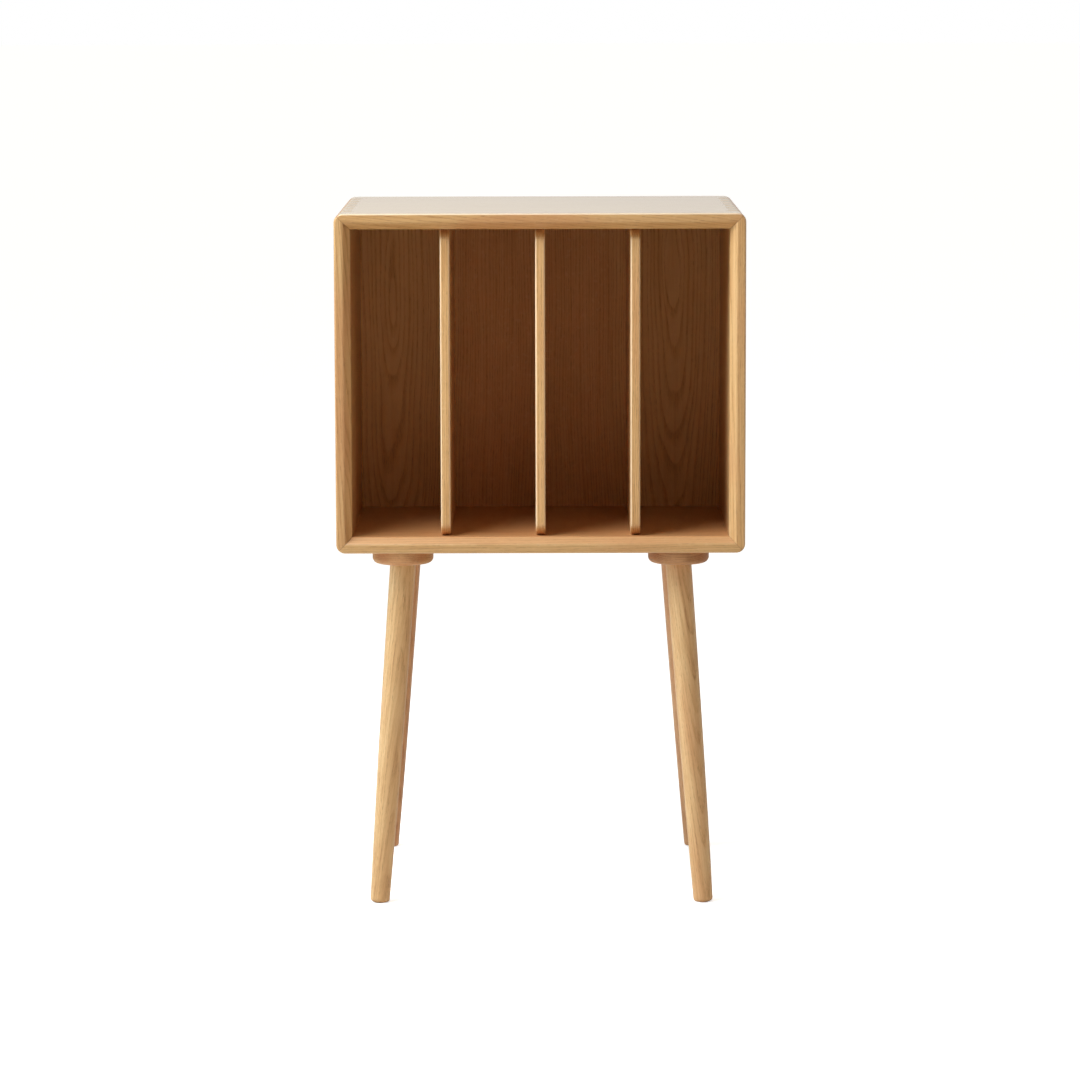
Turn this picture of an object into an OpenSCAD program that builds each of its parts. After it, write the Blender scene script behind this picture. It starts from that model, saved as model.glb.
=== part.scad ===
// Record stand: a box-jointed oak case with four upright bays, on four splayed turned legs.
// Millimetres. X runs to the right, Y to the rear, Z up; the origin is on the floor under the middle.

/* [Case] */
// Width of the case
case_w = 500; // [440:5:640]
// Depth of the case, front edge to rear edge
case_d = 400; // [380:5:480]
// Height of the case without its legs
case_h = 415; // [390:5:520]
// Thickness of the four case boards
board_t = 19.5; // [18:0.5:25]
// Radius of the four long outer corners
corner_r = 11; // [5:0.5:14]
// Radius of the round along the front and rear outer edges
edge_r = 2.5; // [1:0.5:4]
// Width of the bevel round the front opening, seen from the front
bevel_w = 8.5; // [4:0.5:12]
// Depth of that bevel, front to back
bevel_d = 10.5; // [5:0.5:14]
// Radius of the round along both edges of that bevel
bevel_round_r = 4; // [1:0.5:5]
// Small chamfer round the rear opening
rear_chamfer = 1; // [0.5:0.5:3]

/* [Corner joints] */
// Length of the mitred shoulder at the front and rear of each corner
shoulder_l = 46; // [30:1:60]
// Number of fingers between the shoulders, the first and last on the side boards
finger_count = 11; // [5:2:15]

/* [Back panel] */
// Depth of the bays, case front to back panel
bay_d = 316; // [280:1:330]
// Thickness of the back panel
back_t = 8; // [6:0.5:12]
// Depth of the groove that holds the back panel
groove_d = 6; // [4:0.5:8]
// Clearance on each face of the back panel in its groove
groove_gap = 0.15; // [0.1:0.05:0.3]
// Clearance beyond each edge of the back panel in its groove
groove_end_gap = 0.5; // [0.3:0.1:0.8]

/* [Dividers] */
// Distance between the centres of neighbouring dividers
divider_pitch = 116; // [100:0.5:130]
// Thickness of a divider
divider_t = 12; // [10:0.5:16]
// Distance of a divider's front edge behind the front of the case
divider_inset = 14; // [11:1:40]
// Radius of a divider's front corners, seen from the side
divider_nose_r = 17; // [8:1:20]
// Radius of the round along a divider's front edge
divider_edge_r = 2.5; // [1:0.5:4]
// Depth of the housings in the top and bottom boards
housing_d = 5; // [3:0.5:8]
// Distance from the rounded nose to the front end of a housing
housing_stop = 10; // [5:1:30]
// Clearance round a divider's tongue in its housing
housing_gap = 0.1; // [0.05:0.05:0.2]

/* [Leg discs] */
// Diameter of the disc that carries each leg
disc_d = 75; // [66:1:84]
// Thickness of a disc
disc_t = 16; // [14:0.5:24]
// Radius of a disc's lower edge
disc_edge_r = 7; // [4:0.5:10]
// Distance from a disc's centre to the side of the case
disc_from_side = 80.5; // [60:0.5:120]
// Distance from a disc's centre to the front or rear of the case
disc_from_edge = 40; // [36:1:80]

/* [Legs] */
// Height of a leg between its disc and its glide
leg_drop = 422; // [200:0.5:560]
// Diameter of a leg at its disc
leg_top_d = 32; // [28:0.5:34]
// Diameter of a leg at the foot, before it is rounded
leg_foot_d = 24; // [20:0.5:28]
// Share of the taper that runs evenly, the rest gathers towards the foot
leg_even_taper = 0.45; // [0.2:0.05:1]
// Radius of the round at the foot
foot_round_r = 4.5; // [4:0.5:9]
// Outward lean of a foot, to the side
foot_out_x = 31; // [0:1:50]
// Outward lean of a foot, to the front or rear
foot_out_y = 15; // [0:1:30]

/* [Foot glides] */
// Diameter of a glide's pad
glide_d = 13; // [10:0.5:14]
// Thickness of a glide's pad
glide_t = 1; // [1:0.5:4]
// Diameter of a glide's nail
nail_d = 2; // [1.5:0.5:3]
// Length of a glide's nail above its pad
nail_l = 14; // [8:1:20]

/* [Fasteners] */
// Thread diameter of the hanger bolt in each leg
bolt_d = 8; // [6:1:8]
// Length of a hanger bolt inside the leg
bolt_in_leg = 45; // [30:1:60]
// Length of a hanger bolt inside the disc
bolt_in_disc = 12; // [10:0.5:12.5]
// Outer diameter of the threaded insert in each disc
insert_d = 12; // [11:0.5:13]
// Length of a threaded insert
insert_l = 11; // [8:0.5:12]
// Depth of a threaded insert below the disc's underside
insert_sink = 1.5; // [1:0.5:2]
// Number of screws that hold a disc
screw_count = 4; // [3:1:6]
// Diameter of the circle that those screws lie on
screw_circle_d = 45; // [44:0.5:46]
// Diameter of a disc screw
screw_d = 4; // [3:0.5:4.5]
// Length of a disc screw
screw_l = 30; // [24:1:32]
// Diameter of a disc screw's countersunk head
screw_head_d = 8; // [7:0.5:8.5]
// Clearance round screws, bolts, inserts and nails in their holes
thread_gap = 0.1; // [0.05:0.05:0.2]

/* [Hidden] */

// Facets of round shapes in the preview
$fn = 48;
// How far a cutting shape reaches past what it cuts
cut = 5;

// Which side of the middle a leg stands on
left = -1;
right = 1;
front = -1;
rear = 1;

// Heights above the floor
leg_h = glide_t + leg_drop + disc_t;
case_mid_z = leg_h + case_h / 2;

// Slope of the front bevel, 0 facing the front and 90 facing the inner side
bevel_turn = atan2(bevel_d, bevel_w);

// Depths, measured from the middle of the case
front_y = -case_d / 2;
back_y = front_y + bay_d;
divider_y = front_y + divider_inset;
housing_y = divider_y + divider_nose_r + housing_stop;

// Corner joints, where a finger's solid reaches into its own board by its root
zone_l = case_d - 2 * shoulder_l;
finger_w = zone_l / finger_count;
finger_root = 3;

// Back panel, from groove to groove
back_w = case_w - 2 * board_t + 2 * groove_d - 2 * groove_end_gap;
back_h = case_h - 2 * board_t + 2 * groove_d - 2 * groove_end_gap;

// Dividers
divider_h = case_h - 2 * board_t;
divider_offsets = [-divider_pitch, 0, divider_pitch];

// Leg discs and legs
disc_x = case_w / 2 - disc_from_side;
disc_y = case_d / 2 - disc_from_edge;
lean = atan(norm([foot_out_x, foot_out_y]) / leg_drop);
leg_l = leg_drop / cos(lean);
leg_steps = 16;
foot_trim = (leg_foot_d / 2 - foot_round_r + glide_t) * tan(lean);

// Fasteners
bolt_thread_h = 0.7;
bolt_pitch = 2.5;
screw_thread_h = 0.5;
screw_pitch = 2;
screw_tip_l = 4;
screw_head_h = (screw_head_d - screw_d) / 2;
screw_slot_w = 1.2;
screw_slot_l = 5;
screw_slot_d = 1.2;
screw_turn = 45;

// Wood and metal colours
oak_front = [0.83, 0.65, 0.44];
oak_pale = [0.86, 0.78, 0.66];
oak_deep = [0.55, 0.36, 0.21];
oak_leg = [0.80, 0.62, 0.41];
steel = [0.72, 0.72, 0.74];
brass_tone = [0.78, 0.65, 0.36];
glide_grey = [0.60, 0.57, 0.53];

// Draws a Y and Z outline out along X, evenly to both sides
module along_x(l) {
    rotate([90, 0, 90])
        linear_extrude(l, center = true)
            children();
}

// Draws an X and Z outline out along Y, evenly to both sides
module along_y(l) {
    rotate([90, 0, 0])
        linear_extrude(l, center = true)
            children();
}

// Section of a case board across its length, outer face up at zero, its outer edges rounded
module board_section() {
    translate([-case_d / 2 + edge_r, -board_t])
        square([case_d - 2 * edge_r, board_t]);
    translate([-case_d / 2, -board_t])
        square([case_d, board_t - edge_r]);
    for (side = [-1, 1])
        translate([side * (case_d / 2 - edge_r), -edge_r])
            circle(edge_r);
}

// Section of a long corner, from its axis outwards, with the same rounded edges
module corner_section() {
    translate([0, -case_d / 2])
        square([corner_r - edge_r, case_d]);
    translate([0, -case_d / 2 + edge_r])
        square([corner_r, case_d - 2 * edge_r]);
    for (side = [-1, 1])
        translate([corner_r - edge_r, side * (case_d / 2 - edge_r)])
            circle(edge_r);
}

// Side view of a board with mitred ends
module mitred_outline(l) {
    polygon([
        [-l / 2, 0],
        [l / 2, 0],
        [l / 2 - board_t, -board_t],
        [-l / 2 + board_t, -board_t]
    ]);
}

// End of a finger with the long corner's round, the board's end at zero
module finger_outline() {
    translate([-board_t - finger_root, -board_t])
        square([board_t + finger_root - corner_r, board_t]);
    translate([-board_t - finger_root, -board_t])
        square([board_t + finger_root, board_t - corner_r]);
    translate([-corner_r, -corner_r])
        circle(corner_r);
}

// One board's half of a rounded corner, which ends at the mitre
module mitred_corner() {
    intersection() {
        rotate([90, 0, 0])
            rotate_extrude(angle = 90)
                corner_section();
        along_y(case_d + cut)
            polygon([[0, 0], [corner_r + cut, corner_r + cut], [0, corner_r + cut]]);
    }
}

// Places of the top and bottom boards' fingers, every second one between the shoulders
module finger_places() {
    for (i = [1 : 2 : finger_count - 2])
        translate([0, -zone_l / 2 + (i + 0.5) * finger_w, 0])
            children();
}

// A board's end between the shoulders, with sockets for those fingers
module socketed_end() {
    difference() {
        along_y(zone_l) finger_outline();
        finger_places()
            translate([-board_t, -finger_w / 2, -board_t - cut])
                cube([board_t + cut, finger_w, board_t + 2 * cut]);
    }
}

// A case board lying flat, outer face up at zero, with mitred shoulders at both ends
module case_board(l, socketed) {
    flat_l = l - 2 * corner_r;
    difference() {
        union() {
            intersection() {
                along_x(flat_l) board_section();
                along_y(case_d + cut) mitred_outline(l);
            }
            for (end = [0, 1])
                mirror([end, 0, 0])
                    translate([flat_l / 2, 0, -corner_r])
                        mitred_corner();
        }
        for (end = [0, 1])
            mirror([end, 0, 0])
                translate([l / 2 - board_t, -zone_l / 2, -board_t - cut])
                    cube([board_t + cut, zone_l, board_t + 2 * cut]);
        front_bevel(l);
        rear_bevel(l);
        back_groove(l);
    }
    difference() {
        for (end = [0, 1])
            mirror([end, 0, 0])
                translate([l / 2, 0, 0])
                    if (socketed)
                        socketed_end();
                    else
                        finger_places()
                            along_y(finger_w) finger_outline();
        back_groove(l);
    }
}

// Bevel along the inner front edge of a board, both of its own edges rounded
module front_bevel(l) {
    along_x(l)
        translate([front_y, -board_t]) {
            polygon([
                [-cut, -cut],
                [bevel_d * (1 + cut / bevel_w), -cut],
                [-cut, bevel_w * (1 + cut / bevel_d)]
            ]);
            translate([0, bevel_w])
                edge_round(0, bevel_turn);
            translate([bevel_d, 0])
                edge_round(bevel_turn, 90);
        }
}

// What a round takes off an edge at the origin, between two faces of these slopes
module edge_round(from, to) {
    half = (to - from) / 2;
    centre_l = bevel_round_r / cos(half);
    rotate(180 + from + half)
        translate([-centre_l, 0])
            difference() {
                polygon([
                    [0, 0],
                    [2 * centre_l * cos(half), -2 * centre_l * sin(half)],
                    [2 * centre_l * cos(half), 2 * centre_l * sin(half)]
                ]);
                circle(bevel_round_r);
            }
}

// Small chamfer along the inner rear edge of a board
module rear_bevel(l) {
    along_x(l)
        polygon([
            [case_d / 2 + cut, -board_t - cut],
            [case_d / 2 - rear_chamfer - cut, -board_t - cut],
            [case_d / 2 + cut, -board_t + rear_chamfer + cut]
        ]);
}

// Groove for the back panel in a board's inner face
module back_groove(l) {
    translate([
        -l / 2 + board_t - groove_d,
        back_y - groove_gap,
        -board_t - cut
    ])
        cube([l - 2 * board_t + 2 * groove_d, back_t + 2 * groove_gap, groove_d + cut]);
}

// Housings for the dividers' tongues in a board's inner face
module divider_housings() {
    for (x = divider_offsets)
        translate([x - divider_t / 2 - housing_gap, housing_y - housing_gap, -board_t - cut])
            cube([divider_t + 2 * housing_gap, back_y - housing_y + 2 * housing_gap, housing_d + cut]);
}

// Pilot holes for the disc screws in the bottom board, from its outer face
module screw_pilots() {
    for (sx = [left, right], sy = [front, rear])
        translate([sx * disc_x, sy * disc_y, 0])
            screw_places()
                translate([0, 0, -screw_l + disc_t - thread_gap])
                    cylinder(h = screw_l - disc_t + cut, d = screw_d + 2 * thread_gap);
}

module top_board() {
    color(oak_pale)
        translate([0, 0, leg_h + case_h])
            difference() {
                case_board(case_w, false);
                divider_housings();
            }
}

module bottom_board() {
    color(oak_front)
        translate([0, 0, leg_h])
            mirror([0, 0, 1])
                difference() {
                    case_board(case_w, false);
                    divider_housings();
                    screw_pilots();
                }
}

module side_board(side) {
    color(oak_front)
        translate([side * case_w / 2, 0, case_mid_z])
            rotate([0, side * 90, 0])
                case_board(case_h, true);
}

module back_panel() {
    color(oak_deep)
        translate([-back_w / 2, back_y, case_mid_z - back_h / 2])
            cube([back_w, back_t, back_h]);
}

// Section of a divider's front edge, its rear at zero and its nose towards minus Y
module divider_nose() {
    translate([-divider_t / 2, -divider_nose_r + divider_edge_r])
        square([divider_t, divider_nose_r - divider_edge_r]);
    translate([-divider_t / 2 + divider_edge_r, -divider_nose_r])
        square([divider_t - 2 * divider_edge_r, divider_nose_r]);
    for (side = [-1, 1])
        translate([side * (divider_t / 2 - divider_edge_r), -divider_nose_r + divider_edge_r])
            circle(divider_edge_r);
}

// The same section turned so that it can sweep round a front corner
module divider_corner() {
    rotate([0, 90, 0])
        rotate_extrude(angle = 90)
            rotate(90)
                divider_nose();
}

// Upright divider with a rounded front and a tongue along its top and bottom
module divider(x) {
    plate_y = divider_y + divider_nose_r;
    tongue_h = divider_h + 2 * (housing_d - housing_gap);
    color(oak_front)
        translate([x, 0, case_mid_z]) {
            translate([0, plate_y, 0])
                linear_extrude(divider_h - 2 * divider_nose_r, center = true)
                    divider_nose();
            for (end = [0, 1])
                mirror([0, 0, end])
                    translate([0, plate_y, -divider_h / 2 + divider_nose_r])
                        mirror([0, 1, 0])
                            divider_corner();
            translate([-divider_t / 2, plate_y, -divider_h / 2])
                cube([divider_t, back_y - plate_y, divider_h]);
            translate([-divider_t / 2, housing_y, -tongue_h / 2])
                cube([divider_t, back_y - housing_y, tongue_h]);
        }
}

// Puts a part at the place of one leg's disc, on the underside of the case
module at_disc(sx, sy) {
    translate([sx * disc_x, sy * disc_y, leg_h])
        children();
}

// Turns a part so that its Z axis runs down the leg from the disc's underside
module down_leg(sx, sy) {
    at_disc(sx, sy)
        translate([0, 0, -disc_t])
            rotate([0, 180 - lean, atan2(sy * foot_out_y, sx * foot_out_x)])
                children();
}

// Repeats a part at each of a disc's screws
module screw_places() {
    for (i = [0 : screw_count - 1])
        rotate([0, 0, screw_turn + i * 360 / screw_count])
            translate([screw_circle_d / 2, 0, 0])
                children();
}

// Half section of a leg disc, its top face at zero
module disc_section() {
    translate([0, -disc_t])
        square([disc_d / 2 - disc_edge_r, disc_t]);
    translate([0, -disc_t + disc_edge_r])
        square([disc_d / 2, disc_t - disc_edge_r]);
    intersection() {
        translate([disc_d / 2 - disc_edge_r, -disc_t + disc_edge_r])
            circle(disc_edge_r);
        translate([0, -disc_t])
            square([disc_d / 2, disc_t]);
    }
}

module leg_disc(sx, sy) {
    color(oak_leg)
        difference() {
            at_disc(sx, sy)
                rotate_extrude()
                    disc_section();
            down_leg(sx, sy)
                translate([0, 0, -insert_sink - insert_l])
                    cylinder(h = insert_sink + insert_l + cut, d = insert_d + 2 * thread_gap);
            down_leg(sx, sy)
                translate([0, 0, -bolt_in_disc - thread_gap])
                    cylinder(h = bolt_in_disc + cut, d = bolt_d + 2 * thread_gap);
            at_disc(sx, sy)
                translate([0, 0, -disc_t])
                    screw_places()
                        screw_hole();
        }
}

// Countersunk clearance hole for a disc screw, its mouth down at zero
module screw_hole() {
    translate([0, 0, -cut])
        cylinder(h = disc_t + 2 * cut, d = screw_d + 2 * thread_gap);
    translate([0, 0, -cut])
        cylinder(h = cut, d = screw_head_d + 2 * thread_gap);
    cylinder(
        h = screw_head_h,
        d1 = screw_head_d + 2 * thread_gap,
        d2 = screw_d + 2 * thread_gap
    );
}

// Radius of a leg at a distance down from its disc
function leg_r(s) =
    let (t = s / leg_l)
    leg_top_d / 2 - (leg_top_d - leg_foot_d) / 2 * (leg_even_taper * t + (1 - leg_even_taper) * pow(t, 3));

// A length to the nearest hundredth, so that two outlines that touch there meet exactly
function hundredths(l) = round(l * 100) / 100;

// Half section of a leg along its axis
module leg_section() {
    round_l = hundredths(leg_l + foot_trim - foot_round_r);
    round_x = hundredths(leg_r(round_l) - foot_round_r);
    polygon(concat(
        [[0, -cut], [leg_r(0), -cut]],
        [for (i = [0 : leg_steps - 1]) [leg_r(i * round_l / leg_steps), i * round_l / leg_steps]],
        [[round_x + foot_round_r, round_l], [0, round_l]]
    ));
    translate([0, round_l])
        square([round_x, foot_round_r]);
    intersection() {
        translate([round_x, round_l])
            circle(foot_round_r);
        translate([round_x, round_l])
            square(foot_round_r);
    }
}

module leg(sx, sy) {
    foot_x = sx * (disc_x + foot_out_x);
    foot_y = sy * (disc_y + foot_out_y);
    color(oak_leg)
        difference() {
            intersection() {
                down_leg(sx, sy)
                    rotate_extrude()
                        leg_section();
                translate([-case_w, -case_d, glide_t])
                    cube([2 * case_w, 2 * case_d, leg_drop]);
            }
            down_leg(sx, sy)
                translate([0, 0, -cut])
                    cylinder(h = bolt_in_leg + cut + thread_gap, d = bolt_d + 2 * thread_gap);
            translate([foot_x, foot_y, glide_t - cut])
                cylinder(h = nail_l + cut + thread_gap, d = nail_d + 2 * thread_gap);
        }
}

module glide(sx, sy) {
    color(glide_grey)
        translate([sx * (disc_x + foot_out_x), sy * (disc_y + foot_out_y), 0]) {
            cylinder(h = glide_t, d = glide_d);
            cylinder(h = glide_t + nail_l, d = nail_d);
        }
}

// Half section of a ridged wood thread that ends in a point at the far end
module thread_section(d, l, ridge, pitch, tip_l) {
    turns = floor((l - tip_l) / pitch);
    polygon(concat(
        [[0, 0], [d / 2 - ridge, 0]],
        [for (i = [0 : turns - 1], corner = [[ridge, 0.25], [0, 0.5], [0, 1]])
            [d / 2 - ridge + corner[0], (i + corner[1]) * pitch]],
        [[0, l]]
    ));
}

module hanger_bolt(sx, sy) {
    color(steel)
        down_leg(sx, sy) {
            translate([0, 0, -bolt_in_disc])
                cylinder(h = bolt_in_disc, d = bolt_d);
            rotate_extrude()
                thread_section(bolt_d, bolt_in_leg, bolt_thread_h, bolt_pitch, bolt_d / 2);
        }
}

module insert(sx, sy) {
    color(brass_tone)
        down_leg(sx, sy)
            translate([0, 0, -insert_sink - insert_l])
                difference() {
                    cylinder(h = insert_l, d = insert_d);
                    translate([0, 0, -cut])
                        cylinder(h = insert_l + 2 * cut, d = bolt_d + 2 * thread_gap);
                }
}

// Disc screw, its head down at zero and its point up
module disc_screw() {
    difference() {
        union() {
            cylinder(h = screw_head_h, d1 = screw_head_d, d2 = screw_d);
            cylinder(h = disc_t, d = screw_d);
            translate([0, 0, disc_t])
                rotate_extrude()
                    thread_section(screw_d, screw_l - disc_t, screw_thread_h, screw_pitch, screw_tip_l);
        }
        for (turn = [0, 90])
            rotate([0, 0, turn])
                translate([-screw_slot_l / 2, -screw_slot_w / 2, -cut])
                    cube([screw_slot_l, screw_slot_w, cut + screw_slot_d]);
    }
}

module disc_screws(sx, sy) {
    color(steel)
        at_disc(sx, sy)
            translate([0, 0, -disc_t])
                screw_places()
                    disc_screw();
}

top_board();
bottom_board();
side_board(left);  // left_side_board
side_board(right);  // right_side_board
back_panel();

divider(divider_offsets[0]);  // left_divider
divider(divider_offsets[1]);  // middle_divider
divider(divider_offsets[2]);  // right_divider

leg_disc(left, front);  // front_left_leg_disc
leg_disc(right, front);  // front_right_leg_disc
leg_disc(left, rear);  // rear_left_leg_disc
leg_disc(right, rear);  // rear_right_leg_disc

leg(left, front);  // front_left_leg
leg(right, front);  // front_right_leg
leg(left, rear);  // rear_left_leg
leg(right, rear);  // rear_right_leg

glide(left, front);  // front_left_glide
glide(right, front);  // front_right_glide
glide(left, rear);  // rear_left_glide
glide(right, rear);  // rear_right_glide

hanger_bolt(left, front);  // front_left_hanger_bolt
hanger_bolt(right, front);  // front_right_hanger_bolt
hanger_bolt(left, rear);  // rear_left_hanger_bolt
hanger_bolt(right, rear);  // rear_right_hanger_bolt

insert(left, front);  // front_left_insert
insert(right, front);  // front_right_insert
insert(left, rear);  // rear_left_insert
insert(right, rear);  // rear_right_insert

disc_screws(left, front);  // front_left_disc_screws
disc_screws(right, front);  // front_right_disc_screws
disc_screws(left, rear);  // rear_left_disc_screws
disc_screws(right, rear);  // rear_right_disc_screws
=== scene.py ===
import math

import bpy
from mathutils import Matrix, Vector


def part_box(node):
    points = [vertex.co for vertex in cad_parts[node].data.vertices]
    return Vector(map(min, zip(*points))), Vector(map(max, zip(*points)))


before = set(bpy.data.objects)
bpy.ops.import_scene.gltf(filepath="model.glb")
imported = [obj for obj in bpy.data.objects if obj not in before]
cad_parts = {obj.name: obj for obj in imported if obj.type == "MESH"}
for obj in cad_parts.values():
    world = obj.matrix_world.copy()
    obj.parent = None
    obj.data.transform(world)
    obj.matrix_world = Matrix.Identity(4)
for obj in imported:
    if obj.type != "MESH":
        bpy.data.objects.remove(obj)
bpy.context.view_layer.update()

print("stage: frame loaded,", len(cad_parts), "pieces")

mm = 0.001
perMm = (1 / mm, 1 / mm, 1 / mm)
right = Vector((1, 0, 0))
rear = Vector((0, 1, 0))
up = Vector((0, 0, 1))


# One socket of a node tree, on which sums can be written
class Wire:
    def __init__(self, tree, socket=None):
        self.tree = tree
        self.socket = socket

    # Any node: its type, its settings, then the values or links of its sockets
    def node(self, kind, settings=None, values=None, out=0):
        made = self.tree.nodes.new(kind)
        for key, value in (settings or {}).items():
            if key == "stops":
                self.setStops(made.color_ramp, value)
            else:
                setattr(made, key, value)
        for key, value in (values or {}).items():
            if isinstance(value, Wire):
                self.tree.links.new(value.socket, made.inputs[key])
            else:
                made.inputs[key].default_value = value
        return Wire(self.tree, made.outputs[out]) if made.outputs else None

    def setStops(self, ramp, stops):
        while len(ramp.elements) < len(stops):
            ramp.elements.new(1.0)
        for element, (place, colour) in zip(ramp.elements, stops):
            element.position = place
            element.color = colour

    def math(self, operation, a, b=0.0):
        return self.node("ShaderNodeMath", {"operation": operation}, {0: a, 1: b})

    def vector(self, operation, other, out=0):
        return self.node("ShaderNodeVectorMath", {"operation": operation}, {0: self, 1: other}, out)

    def __add__(self, other):
        return self.math("ADD", self, other)

    def __radd__(self, other):
        return self.math("ADD", other, self)

    def __sub__(self, other):
        return self.math("SUBTRACT", self, other)

    def __rsub__(self, other):
        return self.math("SUBTRACT", other, self)

    def __mul__(self, other):
        return self.math("MULTIPLY", self, other)

    def __rmul__(self, other):
        return self.math("MULTIPLY", other, self)

    def __truediv__(self, other):
        return self.math("DIVIDE", self, other)

    def __abs__(self):
        return self.math("ABSOLUTE", self)

    def dot(self, other):
        return self.vector("DOT_PRODUCT", other, out="Value")

    def parts(self):
        return [self.node("ShaderNodeSeparateXYZ", None, {0: self}, i) for i in range(3)]

    def joined(self, x, y, z):
        return self.node("ShaderNodeCombineXYZ", None, {0: x, 1: y, 2: z})

    # 0 below low, 1 above high, smooth between
    def rise(self, low, high):
        settings = {"interpolation_type": "SMOOTHSTEP"}
        return self.node("ShaderNodeMapRange", settings, {"Value": self, "From Min": low, "From Max": high})

    # A noise's swing round 0, instead of round its own middle
    def swing(self, reach):
        return (self - 0.5) * reach

    def noise(self, place, detail, roughness=0.5, out=0):
        values = {"Vector": place, "Scale": 1.0, "Detail": detail, "Roughness": roughness}
        return self.node("ShaderNodeTexNoise", {"noise_dimensions": "3D"}, values, out)

    # This colour, with another mixed into it or multiplied over it, by a share
    def laid(self, other, share, blend="MIX"):
        settings = {"data_type": "RGBA", "blend_type": blend}
        return self.node("ShaderNodeMix", settings, {0: share, 6: self, 7: other}, 2)


def tone(colour, tint=1.0):  # a colour as seen, 0 to 255, turned into linear light
    return (*(tint * ((v / 255 + 0.055) / 1.055) ** 2.4 for v in colour), 1.0)


def paint(name, shade, values):
    material = bpy.data.materials.new(name)
    material.use_nodes = True
    tree = material.node_tree
    tree.nodes.clear()
    wire = Wire(tree)
    sockets = {**values, **shade(wire)}
    shader = wire.node("ShaderNodeBsdfPrincipled", None, sockets)
    wire.node("ShaderNodeOutputMaterial", None, {"Surface": shader})
    return material


# Values shared by all the oak, which a piece can change: sizes in mm, colours as seen. Most pairs say where
# something begins and where it is full: in a noise, a ring, a distance, or the cosine of an angle
oakLook = {
    # Colours, and the strength of what shades them
    "pale": (227, 190, 139),
    "middle": (210, 166, 113),
    "dark": (170, 115, 65),
    "pore": (122, 78, 44),
    "ray": (240, 210, 166),
    "red": (198, 134, 90),
    "tint": 1.0,
    "level": 0.58,
    "driftContrast": 0.35,
    "ringContrast": 0.22,
    "fibreContrast": 0.5,
    "streakContrast": 0.8,
    "redness": 0.25,
    "redFrom": (0.5, 0.68),
    "poreShare": 0.4,
    "rayShare": 0.09,
    # Rings
    "ringWidth": 3.0,
    "season": 8,
    "seasonSwing": 2.2,
    "earlyEnd": (0.0, 0.55),
    "earlyStart": (0.9, 1.0),
    "wave": 5.0,
    "ripple": 1.2,
    "bow": 0.0,
    "heart": 0.0,
    "heartEdge": (80, 120),
    "bookMatch": False,
    # Pores and rays
    "poreFrom": (0.56, 0.7),
    "latePores": 0.25,
    "rayLength": 5,
    "rayHeight": 7,
    "raysPerRadian": 110,
    "rayDetail": 0.5,
    "rayFrom": (0.62, 0.72),
    # Finish
    "roughness": 0.42,
    "poreRoughness": 0.2,
    "fibreRoughness": 0.12,
    "cutRoughness": 0.08,
    "gloss": 0.2,
    "coat": 1.0,
    "cutCoatLoss": 0.3,
    "coatRoughness": 0.38,
    "coatIor": 1.5,
    "reliefStrength": 0.25,
    "reliefDepth": 0.25,
    "fibreRelief": 0.5,
    "earlyRelief": 0.15,
    # Cut ends; sharp edges, pale from wear and a painted highlight; rounded edges with a painted highlight;
    # and faces that look up, with a painted sheen or painted bounced light
    "cutEnd": (196, 176, 150),
    "cutShare": 0.8,
    "cutFrom": (0.2, 0.85),
    "edgeRound": 0.6,
    "edgeWearAndHighlight": 0.3,
    "edgeWearAndHighlightFrom": (0.02, 0.2),
    "edgeWearAndHighlightStreak": (0.35, 0.6),
    # The colour of the painted highlight on rounded edges
    "paintedHighlight": (248, 230, 204),
    "roundHighlight": 0.6,
    "roundHighlightFrom": None,
    "roundFrom": (0.9, 0.99),
    "roundOutward": 0.5,
    "roundGrain": (0.1, 0.4),
    "paintedUpperLight": None,
    "paintedUpperShare": 0.5,
    "paintedUpperFrom": (0.9, 0.98),
    # Joints that show as fine lines
    "lines": None,
    "lineShare": 0.35,
}

# Noises stretched along the grain: mm along it, mm across it, and their detail
oakNoise = {
    "drift": dict(length=230, width=60, detail=1.5, roughness=0.5),
    "ripple": dict(length=34, width=14, detail=1.0, roughness=0.5),
    "fibre": dict(length=45, width=1.3, detail=3.0, roughness=0.65),
    "streak": dict(length=150, width=5, detail=2.0, roughness=0.6),
    "pore": dict(length=7, width=0.45, detail=0.0, roughness=0.5),
}


# 1 on rounded edges along the grain that look away from a line through the given middle, front to back: where
# a painted highlight goes
def roundedEdges(whole, facing, grain, look):
    x, y, z = [abs(part) for part in facing.parts()]
    squareOn = facing.math("MAXIMUM", facing.math("MAXIMUM", x, y), z)
    fromLine = whole.vector("SUBTRACT", look["roundHighlightFrom"]).vector("MULTIPLY", (1.0, 0.0, 1.0))
    outward = facing.dot(fromLine).rise(0.0, look["roundOutward"] * mm)
    alongGrain = 1 - abs(facing.dot(grain)).rise(*look["roundGrain"])
    return (1 - squareOn.rise(*look["roundFrom"])) * outward * alongGrain


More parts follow.
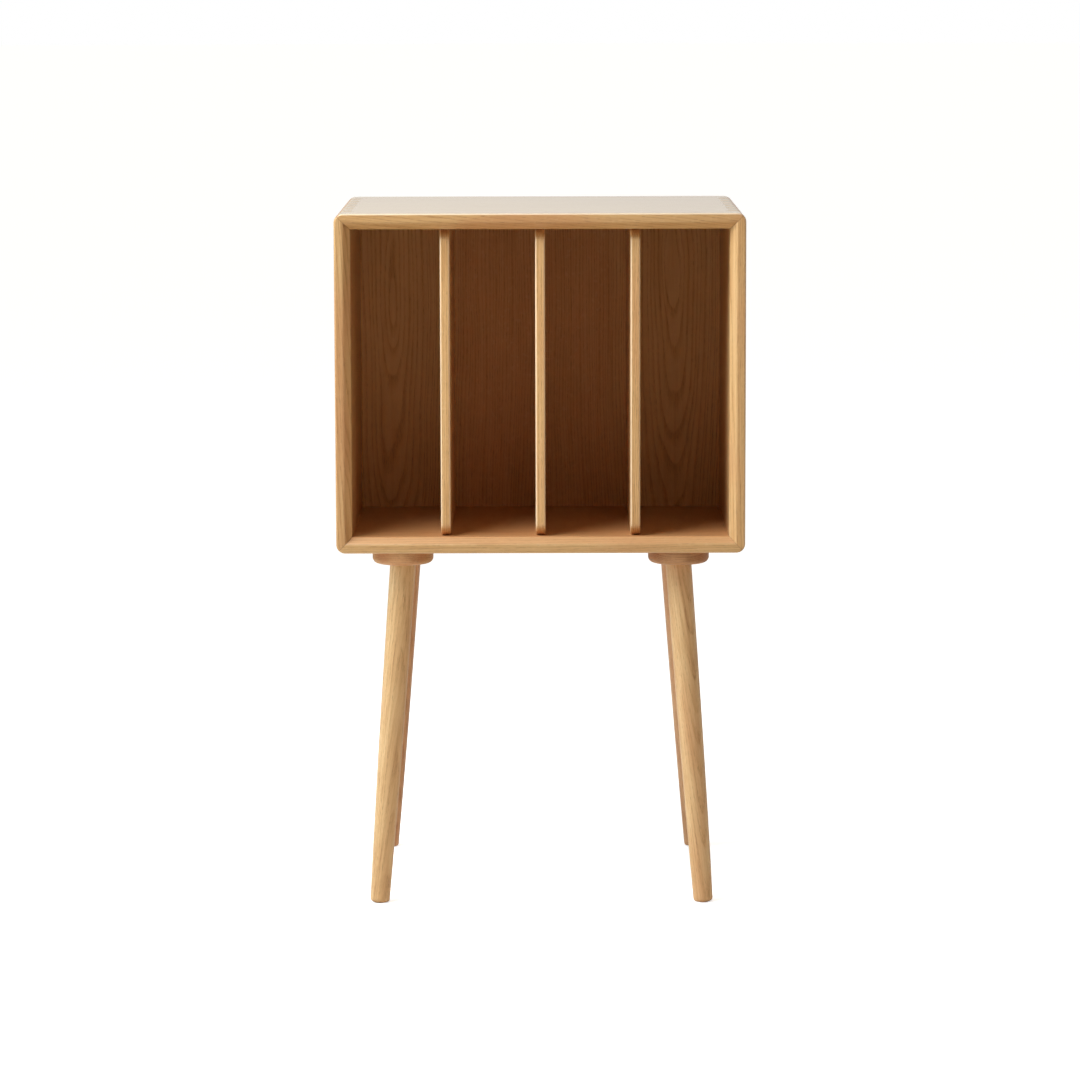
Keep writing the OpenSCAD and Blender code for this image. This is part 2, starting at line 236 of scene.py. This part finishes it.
# Oak cut from a tree: rings round a pith, stretched pores, rays and end grain, in the piece's own directions
def oak(name, place, grain, across, pith, taper, seed, **changes):
    look = {**oakLook, **changes}
    depth = grain.cross(across)

    def colourOf(key):
        return tone(look[key], look["tint"])

    def shade(wire):
        whole = wire.node("ShaderNodeTexCoord", None, None, "Object")
        spot = whole.vector("SUBTRACT", place)
        far = spot.dot(grain / mm)
        wide = spot.dot(across / mm)
        deep = spot.dot(depth / mm)

        def stretched(key, shift, out=0):
            size = oakNoise[key]
            within = wire.joined(far / size["length"], wide / size["width"], deep / size["width"])
            return wire.noise(within.vector("ADD", shift), size["detail"], size["roughness"], out)

        # Rings, by the distance from the pith
        leaf = abs(wide) if look["bookMatch"] else wide
        driftWide, driftDeep, driftTone = stretched("drift", (seed, 0, 0), out=1).parts()
        ripple = stretched("ripple", (seed, 0, 0)).swing(look["ripple"])
        aside = leaf + driftWide.swing(2 * look["wave"]) - pith[0]
        inward = deep + driftDeep.swing(2 * look["wave"]) - pith[1]
        inward = inward + far * (taper - far * look["bow"] / 2) + ripple
        radius = wire.math("SQRT", aside * aside + inward * inward)
        season = wire.noise(wire.joined(radius / look["season"], seed, 0.0), 1.0)
        ring = wire.math("FRACT", radius / look["ringWidth"] + season * look["seasonSwing"])
        early = wire.math("MAXIMUM", 1 - ring.rise(*look["earlyEnd"]), ring.rise(*look["earlyStart"]))

        # Fibres, pores and rays
        fibre = stretched("fibre", (seed, 0, 0))
        streak = stretched("streak", (-seed, 0, 0))
        pores = stretched("pore", (0, 0, seed)).rise(*look["poreFrom"])
        pores = pores * (early * (1 - look["latePores"]) + look["latePores"])
        turn = wire.math("ARCTAN2", aside, inward) * look["raysPerRadian"]
        rays = wire.joined(far / look["rayLength"], turn, radius / look["rayHeight"] + seed)
        rays = wire.noise(rays, look["rayDetail"]).rise(*look["rayFrom"])

        # Cut ends, and sharp edges made pale: wear, with a painted highlight
        facing = wire.node("ShaderNodeNewGeometry", None, None, "True Normal")
        end = abs(facing.dot(grain)).rise(*look["cutFrom"])
        edge = wire.node("ShaderNodeBevel", {"samples": 4}, {"Radius": look["edgeRound"] * mm})
        wearAndHighlight = (1 - edge.dot(facing)).rise(*look["edgeWearAndHighlightFrom"])
        wearAndHighlight = wearAndHighlight * streak.rise(*look["edgeWearAndHighlightStreak"]) * look["edgeWearAndHighlight"]

        # Colour
        level = look["level"] + fibre.swing(look["fibreContrast"]) + streak.swing(look["streakContrast"])
        level = level + driftTone.swing(look["driftContrast"]) - early * look["ringContrast"]
        stops = [(0.0, colourOf("dark")), (0.5, colourOf("middle")), (1.0, colourOf("pale"))]
        colour = wire.node("ShaderNodeValToRGB", {"stops": stops}, {"Fac": level})
        reddish = driftTone.rise(*look["redFrom"]) * look["redness"]
        if look["heart"]:
            reddish = reddish + (1 - abs(wide).rise(*look["heartEdge"])) * look["heart"]
        colour = colour.laid(colourOf("red"), reddish)
        colour = colour.laid(colourOf("pore"), pores * look["poreShare"])
        colour = colour.laid(colourOf("ray"), rays * look["rayShare"])
        colour = colour.laid(tone(look["cutEnd"]), end * look["cutShare"], "MULTIPLY")
        # Sharp edges lightened: wear, and a painted highlight
        colour = colour.laid(colourOf("ray"), wearAndHighlight)
        # Faces that look up: a painted sheen on the top, and painted bounced light and shade on the bottom
        # board
        if look["paintedUpperLight"]:
            upper = facing.dot(up).rise(*look["paintedUpperFrom"]) * look["paintedUpperShare"]
            colour = colour.laid(tone(look["paintedUpperLight"]), upper)
        # Rounded edges that look outward: a painted highlight
        if look["roundHighlightFrom"]:
            rounds = roundedEdges(whole, facing, grain, look)
            colour = colour.laid(colourOf("paintedHighlight"), rounds * look["roundHighlight"])

        # Relief and finish
        relief = fibre.swing(look["fibreRelief"]) - pores - early * look["earlyRelief"]
        if look["lines"]:
            line = look["lines"](wire, whole)
            colour = colour.laid(colourOf("pore"), line * look["lineShare"])
            relief = relief - line
        rough = look["roughness"] + pores * look["poreRoughness"]
        rough = rough + fibre.swing(look["fibreRoughness"]) + end * look["cutRoughness"]
        bump = {"Strength": look["reliefStrength"], "Distance": look["reliefDepth"] * mm}
        bump.update({"Height": relief, "Normal": edge})
        return {
            "Base Color": colour,
            "Roughness": rough,
            "Coat Weight": look["coat"] * (1 - end * look["cutCoatLoss"]),
            "Normal": wire.node("ShaderNodeBump", None, bump),
        }

    fixed = {"Coat Roughness": look["coatRoughness"], "Coat IOR": look["coatIor"]}
    fixed["Specular IOR Level"] = look["gloss"]
    return paint(name, shade, fixed)


def finish(nodeName, material):
    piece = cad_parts[nodeName]
    piece.data.materials.clear()
    piece.data.materials.append(material)


def middleOf(nodeName):
    low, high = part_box(nodeName)
    return (low + high) / 2


# The case's corner joints, in mm: mitred shoulders front and rear, with fingers between them
joint = {
    "shoulder": 46.0,
    "fingers": 11,
    "line": 0.25,
    "fade": 0.3,
    "margin": 0.5,
}
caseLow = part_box("bottom_board")[0] / mm
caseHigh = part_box("top_board")[1] / mm
boardThickness = caseHigh.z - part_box("top_board")[0].z / mm
fingerWidth = (caseHigh.y - caseLow.y - 2 * joint["shoulder"]) / joint["fingers"]


# Hairlines where two boards meet, 1 on a line
def jointLines(wire, whole):
    x, y, z = whole.vector("MULTIPLY", perMm).parts()
    fromSide = caseHigh.x - abs(x)
    fromEnd = (caseHigh.z - caseLow.z) / 2 - abs(z - (caseHigh.z + caseLow.z) / 2)
    count = (y - caseLow.y - joint["shoulder"]) / fingerWidth
    reach = boardThickness + joint["margin"]

    def near(gap):
        return 1 - abs(gap).rise(joint["line"], joint["line"] + joint["fade"])

    def below(value, limit):
        return wire.math("LESS_THAN", value, limit)

    atCorner = below(fromSide, reach) * below(fromEnd, reach)
    inFingers = below(abs(count - joint["fingers"] / 2), joint["fingers"] / 2)
    ofSide = below(wire.math("FRACT", count / 2), 0.5)
    cheek = near((wire.math("FRACT", count + 0.5) - 0.5) * fingerWidth)
    root = ofSide * near(fromSide - boardThickness) + (1 - ofSide) * near(fromEnd - boardThickness)
    mitre = near((fromSide - fromEnd) * math.sqrt(0.5))
    return atCorner * (mitre + inFingers * (wire.math("MAXIMUM", cheek, root) - mitre))


# Each board's grain runs along it, from one mitre to the other. Faces that look up have a painted tone of
# their own:
# a pale painted sheen on the top and on the ends of the fingers in it, and on the bottom board a redder tone
# for painted bounced light, which also darkens its bevel as painted shade
paintedTopSheen = (199, 194, 173)
caseGrain = {
    "ringContrast": 0.23,
    "fibreContrast": 0.38,
    "streakContrast": 0.55,
    "poreShare": 0.35,
}
caseLook = {
    "top_board": dict(
        grain=right, across=rear, pith=(-170, -95), taper=0.13, seed=3.1,
        ringWidth=4.5, wave=7, ringContrast=0.17, redness=0.45,
        coatRoughness=0.16, coatIor=1.35, paintedUpperLight=paintedTopSheen,
    ),
    "bottom_board": dict(
        grain=right, across=rear, pith=(-150, 120), taper=-0.012, seed=8.4,
        ringContrast=0.17, fibreContrast=0.6, roundHighlight=0.2,
        paintedUpperLight=(208, 128, 74), paintedUpperShare=0.4, paintedUpperFrom=(0.55, 0.95),
    ),
    "left_side_board": dict(
        grain=up, across=rear, pith=(-165, 70), taper=-0.06, seed=12.7, redness=0.5,
        ringContrast=0.28, fibreContrast=0.6, streakContrast=0.85, roundHighlight=0.0, paintedUpperLight=paintedTopSheen,
    ),
    "right_side_board": dict(
        grain=up, across=rear, pith=(-180, -60), taper=-0.018, seed=17.2, redness=0.45, tint=1.05,
        fibreContrast=0.7, streakContrast=0.9, roundHighlight=0.3, paintedUpperLight=paintedTopSheen,
    ),
}
caseMiddle = (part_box("bottom_board")[0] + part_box("top_board")[1]) / 2
# The boards' rounded edges get a painted highlight where they look away from the case's middle
for nodeName, look in caseLook.items():
    look = {**caseGrain, **look, "lines": jointLines, "roundHighlightFrom": caseMiddle}
    finish(nodeName, oak(nodeName + "_oak", middleOf(nodeName), **look))
print("stage: case boards")

# The back: two veneer leaves opened like a book, with upright cathedrals and hardly any gloss
leafOffset = 9  # mm from the middle to the joint between the leaves, which is a little to the left
backLook = {
    "pith": (181, 24),
    "taper": 0.036,
    "bow": 0.0003,
    "seed": 5.5,
    "bookMatch": True,
    "tint": 1.34,
    "redness": 0.1,
    "ringWidth": 3.6,
    "wave": 7.0,
    "ringContrast": 0.2,
    "fibreContrast": 0.3,
    "streakContrast": 0.45,
    "poreShare": 0.3,
    "heart": 0.26,
    "gloss": 0.1,
    "coat": 0.0,
}
leafJoint = middleOf("back_panel") - right * leafOffset * mm
finish("back_panel", oak("back_panel_veneer", leafJoint, up, right, **backLook))
print("stage: back panel")

# The dividers: upright grain in narrow rings, darker where the rounds at the front corners cut across it:
# end grain, with painted shade spread over the rounds, and a painted highlight on rounded edges
dividerGrain = {
    "ringWidth": 2.4,
    "wave": 2.5,
    "fibreContrast": 0.75,
    # End grain tone, begun early on the rounded noses: partly painted shade
    "cutEnd": (214, 180, 148),
    "cutFrom": (0.05, 0.75),
    "roundHighlight": 0.45,
}
dividerLook = {
    "left_divider": dict(pith=(-150, 160), taper=0.004, seed=21.3, tint=1.17),
    "middle_divider": dict(pith=(-60, 140), taper=0.002, seed=26.8, tint=1.21),
    "right_divider": dict(pith=(-120, 90), taper=0.035, seed=31.9, tint=1.13, ringContrast=0.28),
}
for nodeName, look in dividerLook.items():
    place = middleOf(nodeName)
    look = {**dividerGrain, **look, "roundHighlightFrom": place}
    finish(nodeName, oak(nodeName + "_oak", place, up, rear, **look))
print("stage: dividers")

# The leg discs: turned from boards that lie flat, the right ones darker, as painted shade away from the
# lights
discGrain = {
    "ringWidth": 2.6,
    "wave": 2.0,
    "ringContrast": 0.34,
    "fibreContrast": 0.75,
    "cutEnd": (228, 206, 184),
}
discShade = {
    "left": dict(tint=1.0, redness=0.65),
    # Darker on the right: painted shade
    "right": dict(tint=0.78, pale=(224, 171, 125), middle=(207, 150, 101), dark=(164, 105, 62)),
}
discLook = {
    "front_left": dict(pith=(-20, 60), taper=0.05, seed=40.5),
    "rear_left": dict(pith=(-32, 60), taper=0.03, seed=44.2),
    "front_right": dict(pith=(-44, 60), taper=0.01, seed=47.9),
    "rear_right": dict(pith=(-56, 60), taper=-0.01, seed=51.6),
}
for corner, look in discLook.items():
    end, side = corner.split("_")
    nodeName = corner + "_leg_disc"
    look = {**discGrain, **discShade[side], **look}
    finish(nodeName, oak(nodeName + "_oak", middleOf(nodeName), right, rear, **look))

# The legs: turned, with grain that leans a few degrees sideways from their own length
legGrain = {
    "ringWidth": 2.6,
    "wave": 3.5,
    "ripple": 0.8,
    "ringContrast": 0.15,
    "fibreContrast": 0.7,
    "streakContrast": 0.85,
}
legLean = {"left": 0.09, "right": -0.09}
legShade = {
    "front": dict(
        tint=1.06, redness=0.35,
        pale=(233, 201, 154), middle=(213, 171, 121), dark=(167, 107, 63),
    ),
    "rear": dict(
        tint=0.98, redness=0.6,
        pale=(230, 188, 145), middle=(210, 156, 113), dark=(162, 98, 62),
    ),
}
legLook = {
    "front_left": dict(pith=(-30, 50), taper=0.0, seed=61.7),
    "rear_left": dict(pith=(-36, 54), taper=0.0, seed=67.0),
    "front_right": dict(pith=(-42, 58), taper=0.0, seed=72.3),
    "rear_right": dict(pith=(-48, 62), taper=0.0, seed=77.6),
}
for corner, look in legLook.items():
    end, side = corner.split("_")
    nodeName = corner + "_leg"
    along = (middleOf(corner + "_leg_disc") - middleOf(corner + "_glide")).normalized()
    grain = (along + right * legLean[side]).normalized()
    across = rear.cross(grain).normalized()
    look = {**legGrain, **legShade[end], **look}
    finish(nodeName, oak(nodeName + "_oak", middleOf(nodeName), grain, across, **look))
print("stage: legs and discs")

# Small metal and plastic parts: two colours as seen, in clouds, over a fine grit
plainLook = {
    "steel": {"clean": (196, 197, 200), "stain": (150, 148, 146), "metallic": 1.0, "roughness": 0.32},
    "brass": {"clean": (214, 178, 104), "stain": (170, 130, 66), "metallic": 1.0, "roughness": 0.36},
    "nylon": {"clean": (160, 152, 142), "stain": (138, 130, 121), "metallic": 0.0, "roughness": 0.62},
}
gritLook = {
    "cloudDetail": 3.0,
    "cleanBelow": 0.45,
    "stainAbove": 0.75,
    "roughnessSwing": 0.25,
    "gritPerMm": (6.0, 6.0, 6.0),
    "gritDetail": 2.0,
    "gritStrength": 0.15,
    "gritDepth": 0.05,
}


def plain(name, clean, stain, metallic, roughness):
    def shade(wire):
        spot = wire.node("ShaderNodeTexCoord", None, None, "Object").vector("MULTIPLY", perMm)
        cloud = wire.noise(spot, gritLook["cloudDetail"])
        grit = wire.noise(spot.vector("MULTIPLY", gritLook["gritPerMm"]), gritLook["gritDetail"])
        bump = {"Strength": gritLook["gritStrength"], "Distance": gritLook["gritDepth"] * mm, "Height": grit}
        stops = [(gritLook["cleanBelow"], tone(clean)), (gritLook["stainAbove"], tone(stain))]
        return {
            "Base Color": wire.node("ShaderNodeValToRGB", {"stops": stops}, {"Fac": cloud}),
            "Roughness": roughness + cloud.swing(gritLook["roughnessSwing"]),
            "Normal": wire.node("ShaderNodeBump", None, bump),
        }

    return paint(name, shade, {"Metallic": metallic})


steel = plain("zinc_plated_steel", **plainLook["steel"])
brass = plain("insert_brass", **plainLook["brass"])
nylon = plain("glide_nylon", **plainLook["nylon"])
for corner in legLook:
    finish(corner + "_hanger_bolt", steel)
    finish(corner + "_disc_screws", steel)
    finish(corner + "_insert", brass)
    finish(corner + "_glide", nylon)
print("stage: fasteners and glides")

# Floor and room, with colours as seen
studio = {
    "floorRadius": 60.0,
    "floorSides": 96,
    "floorRoughness": 0.9,
    "floorTone": (250, 250, 250),
    "floorGlow": 0.62,
    "bounceTone": (241, 228, 208),
    "bounceDrop": 0.5 * mm,
    "roomFront": (118, 110, 97),
    "roomRear": (219, 217, 214),
    "roomTurn": (-0.5, 0.6),
    "roomSeen": (255, 255, 255),
}

# The lights, by where they stand, seen from the cabinet: degrees round from the camera's side towards the
# right, degrees up, metres away, degrees across, and the light that they cast there. The low one doesn't show
# in reflections, because it would whiten the top, seen from the right
lightAim = Vector((0, 0, 0.6))
wattsPerLight = 4  # for a light of 1, a metre away
lights = {
    "key": dict(
        around=-48, height=54, distance=2.2, spread=30,
        light=2.38, colour=(252, 254, 255), glint=True,
    ),
    "side": dict(
        around=-74, height=14, distance=2.6, spread=34,
        light=1.6, colour=(208, 238, 255), glint=False,
    ),
}


def makeFloor(name, height, colour, glow):
    turns = [math.tau * i / studio["floorSides"] for i in range(studio["floorSides"])]
    radius = studio["floorRadius"]
    ring = [(radius * math.cos(turn), radius * math.sin(turn), height) for turn in turns]
    mesh = bpy.data.meshes.new(name)
    mesh.from_pydata(ring, [], [list(range(len(ring)))])
    floor = bpy.data.objects.new(name, mesh)
    bpy.context.scene.collection.objects.link(floor)
    fixed = {
        "Base Color": tone(colour),
        "Roughness": studio["floorRoughness"],
        "Specular IOR Level": 0.0,
        "Emission Color": (1.0, 1.0, 1.0, 1.0),
        "Emission Strength": glow,
    }
    mesh.materials.append(paint(name + "_paint", lambda wire: {}, fixed))
    return floor


# The camera sees a bright floor, and the cabinet is lit by a warmer one just under it
def makeFloors():
    seen = makeFloor("floor", 0.0, studio["floorTone"], studio["floorGlow"])
    for rays in ("diffuse", "glossy", "transmission", "shadow"):
        setattr(seen, "visible_" + rays, False)
    bounce = makeFloor("bounce_floor", -studio["bounceDrop"], studio["bounceTone"], 0.0)
    bounce.visible_camera = False


def makeLight(name, around, height, distance, spread, light, colour, glint):
    turn, lift = math.radians(around), math.radians(height)
    away = Vector((math.sin(turn) * math.cos(lift), -math.cos(turn) * math.cos(lift), math.sin(lift)))
    data = bpy.data.lights.new(name, "AREA")
    data.shape = "DISK"
    data.size = 2 * distance * math.tan(math.radians(spread / 2))
    data.energy = light * wattsPerLight * distance ** 2
    data.color = tone(colour)[:3]
    lamp = bpy.data.objects.new(name, data)
    lamp.location = lightAim + away * distance
    lamp.rotation_euler = (-away).to_track_quat("-Z", "Y").to_euler()
    lamp.visible_glossy = glint
    bpy.context.scene.collection.objects.link(lamp)


# The cabinet stands in a room that is pale behind it, where the top reflects it, and darker round the camera.
# The camera itself sees white
def makeRoom():
    world = bpy.data.worlds.new("studio")
    bpy.context.scene.world = world
    world.use_nodes = True
    tree = world.node_tree
    tree.nodes.clear()
    wire = Wire(tree)
    toRear = wire.node("ShaderNodeTexCoord", None, None, "Generated").parts()[1]
    stops = [(0.0, tone(studio["roomFront"])), (1.0, tone(studio["roomRear"]))]
    glow = wire.node("ShaderNodeValToRGB", {"stops": stops}, {"Fac": toRear.rise(*studio["roomTurn"])})
    seen = wire.node("ShaderNodeLightPath", None, None, "Is Camera Ray")
    glow = glow.laid(tone(studio["roomSeen"]), seen)
    background = wire.node("ShaderNodeBackground", None, {"Color": glow, "Strength": 1.0})
    wire.node("ShaderNodeOutputWorld", None, {"Surface": background})


makeFloors()
for name, values in lights.items():
    makeLight(name, **values)
makeRoom()

# The camera, worked out from the case's edges in the photograph: metres, radians and the photograph's pixels
view = {
    "place": Vector((0.0008, -5.5149, 1.1521)),
    "tilt": 0.1303,
    "yaw": -0.00031,
    "roll": -0.0025,
    "focalPixels": 4388.1,
    "imagePixels": 1080,
    "sensor": 36.0,
    "clipEnd": 200.0,
}


def makeCamera():
    data = bpy.data.cameras.new("camera")
    data.sensor_width = view["sensor"]
    data.lens = view["focalPixels"] / view["imagePixels"] * view["sensor"]
    data.clip_end = view["clipEnd"]
    camera = bpy.data.objects.new("camera", data)
    bpy.context.scene.collection.objects.link(camera)
    flat = Vector((math.sin(view["yaw"]), math.cos(view["yaw"]), 0))
    forward = flat * math.cos(view["tilt"]) - up * math.sin(view["tilt"])
    level = forward.cross(up).normalized()
    lift = level.cross(forward)
    sideways = level * math.cos(view["roll"]) + lift * math.sin(view["roll"])
    upright = sideways.cross(forward)
    turn = Matrix((sideways, upright, -forward)).transposed().to_4x4()
    camera.matrix_world = Matrix.Translation(view["place"]) @ turn
    bpy.context.scene.camera = camera


makeCamera()
bpy.context.scene.view_settings.view_transform = "Standard"
print("stage: floor, light and camera")
